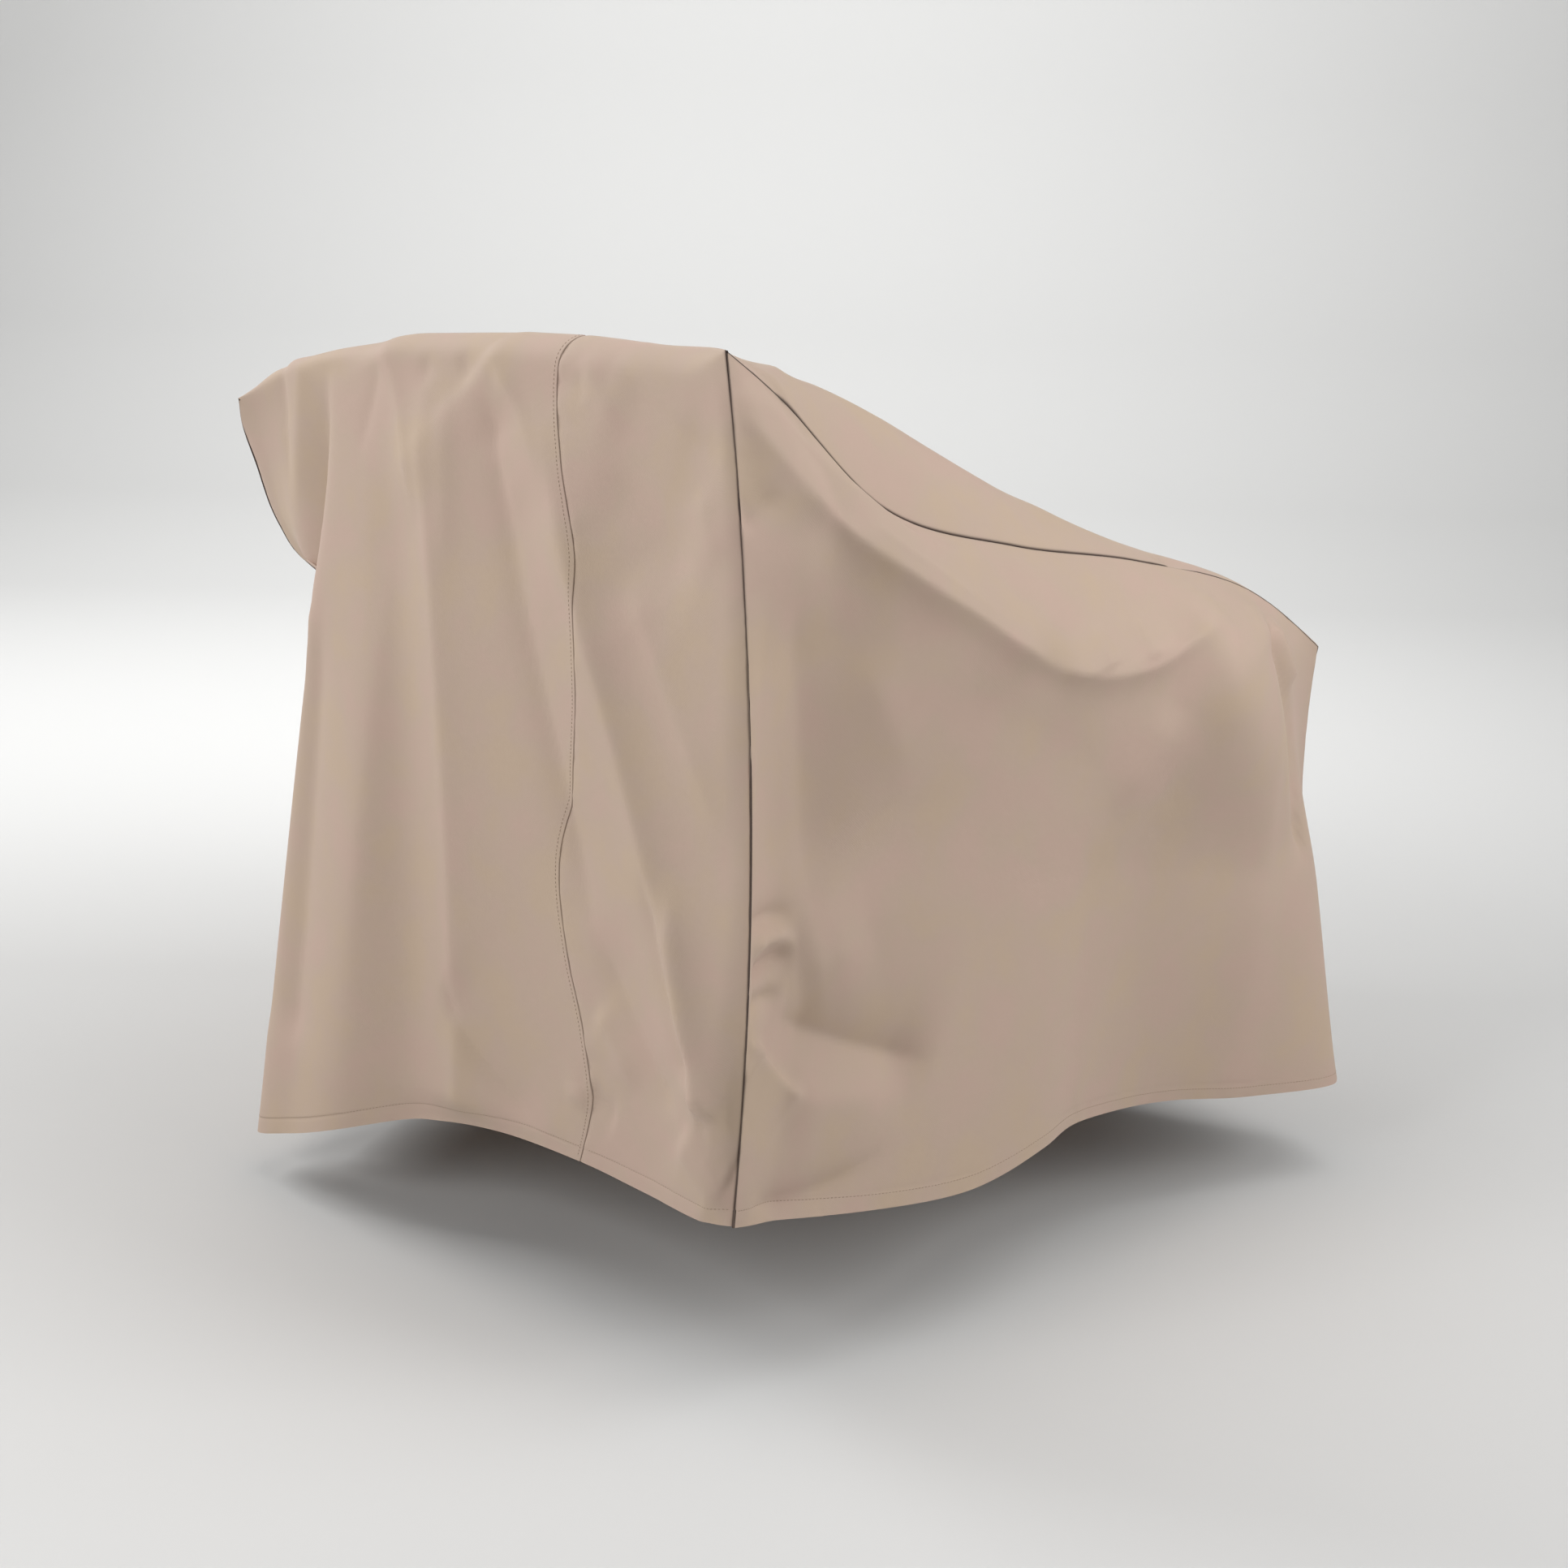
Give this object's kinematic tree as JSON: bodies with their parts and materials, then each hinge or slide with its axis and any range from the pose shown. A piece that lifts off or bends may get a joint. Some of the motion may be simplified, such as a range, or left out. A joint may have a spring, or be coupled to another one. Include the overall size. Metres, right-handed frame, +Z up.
{
  "type": "lounge chair cover",
  "caption": "Fitted outdoor cover for a lounge chair, hanging over it as a hollow: a strip over back, seat and front with a shaped panel on each side.",
  "frame": {"origin": "underside of the top at the back rim, where the chair's back carries the cover", "axes": "+Z up, -Y towards the front of the chair, +X towards the far side panel"},
  "size_m": [0.9413, 0.9819, 0.9253],
  "materials": {
    "coated_polyester": "matt plain-weave polyester with a coated back, sand beige"
  },
  "bodies": {
    "root": {"centre_panel_wide": "coated_polyester", "centre_panel_narrow": "coated_polyester", "side_panel_near": "coated_polyester", "side_panel_far": "coated_polyester"}
  },
  "joints": []
}
